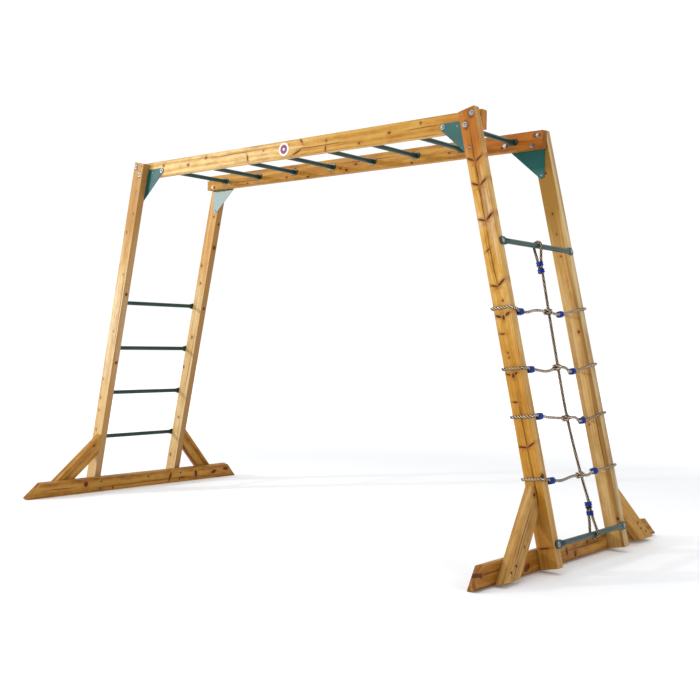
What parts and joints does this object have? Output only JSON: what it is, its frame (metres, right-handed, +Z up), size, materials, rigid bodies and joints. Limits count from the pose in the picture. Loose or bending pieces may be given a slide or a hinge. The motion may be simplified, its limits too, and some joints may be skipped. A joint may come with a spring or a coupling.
{
  "type": "monkey bars",
  "caption": "Free-standing timber climbing frame: an overhead rung ladder between a leaning ladder frame and a leaning rope-net frame.",
  "frame": {"origin": "on the ground under the middle of the frame", "axes": "+X along the rails towards the rope-net end, +Z up, -Y the side with the badge"},
  "size_m": [3.4258, 1.7, 2.068],
  "materials": {
    "timber_front_rail": "planed pine, oiled, semi-matt",
    "timber_rear_rail": "planed pine, oiled, semi-matt",
    "timber_posts": "planed pine, oiled, semi-matt",
    "timber_beams": "planed pine, darker oil, semi-matt",
    "timber_braces": "planed pine, oiled, semi-matt",
    "green_tube": "dark green powder coat, satin",
    "green_plate": "sea green powder coat, satin",
    "zinc_fasteners": "bright zinc",
    "net_rope": "laid synthetic hemp, tan",
    "upright_rope": "laid synthetic hemp, brown",
    "blue_plastic": "moulded, glossy blue",
    "dark_rubber": "matt dark ring",
    "badge_plastic": "white disc with a plain printed emblem"
  },
  "bodies": {
    "root": {"front_rail": "timber_front_rail", "rear_rail": "timber_rear_rail", "post_front_right": "timber_posts", "post_rear_right": "timber_posts", "post_front_left": "timber_posts", "post_rear_left": "timber_posts", "base_beam_right": "timber_beams", "base_beam_left": "timber_beams", "brace_front_right": "timber_braces", "gusset_front_right": "green_plate", "corner_bolts_front_right": "zinc_fasteners", "brace_rear_right": "timber_braces", "gusset_rear_right": "green_plate", "corner_bolts_rear_right": "zinc_fasteners", "brace_front_left": "timber_braces", "gusset_front_left": "green_plate", "corner_bolts_front_left": "zinc_fasteners", "brace_rear_left": "timber_braces", "gusset_rear_left": "green_plate", "corner_bolts_rear_left": "zinc_fasteners", "base_screws_right": "zinc_fasteners", "base_screws_left": "zinc_fasteners", "top_rung_1": "green_tube", "top_rung_2": "green_tube", "top_rung_3": "green_tube", "top_rung_4": "green_tube", "top_rung_5": "green_tube", "top_rung_6": "green_tube", "top_rung_7": "green_tube", "top_rung_8": "green_tube", "rung_screws_front": "zinc_fasteners", "rung_screws_rear": "zinc_fasteners", "ladder_rung_1": "green_tube", "ladder_rung_2": "green_tube", "ladder_rung_3": "green_tube", "ladder_rung_4": "green_tube", "ladder_rung_bolts": "zinc_fasteners", "net_top_bar": "green_tube", "net_bottom_bar": "green_tube", "net_bar_bolts": "zinc_fasteners", "rope_vertical": "upright_rope", "rope_1": "net_rope", "rope_1_clips": "blue_plastic", "rope_2": "net_rope", "rope_2_clips": "blue_plastic", "rope_3": "net_rope", "rope_3_clips": "blue_plastic", "rope_4": "net_rope", "rope_4_clips": "blue_plastic", "crossing_knots": "upright_rope", "rope_bands": "blue_plastic", "rope_ring": "dark_rubber", "badge": "badge_plastic"}
  },
  "joints": []
}
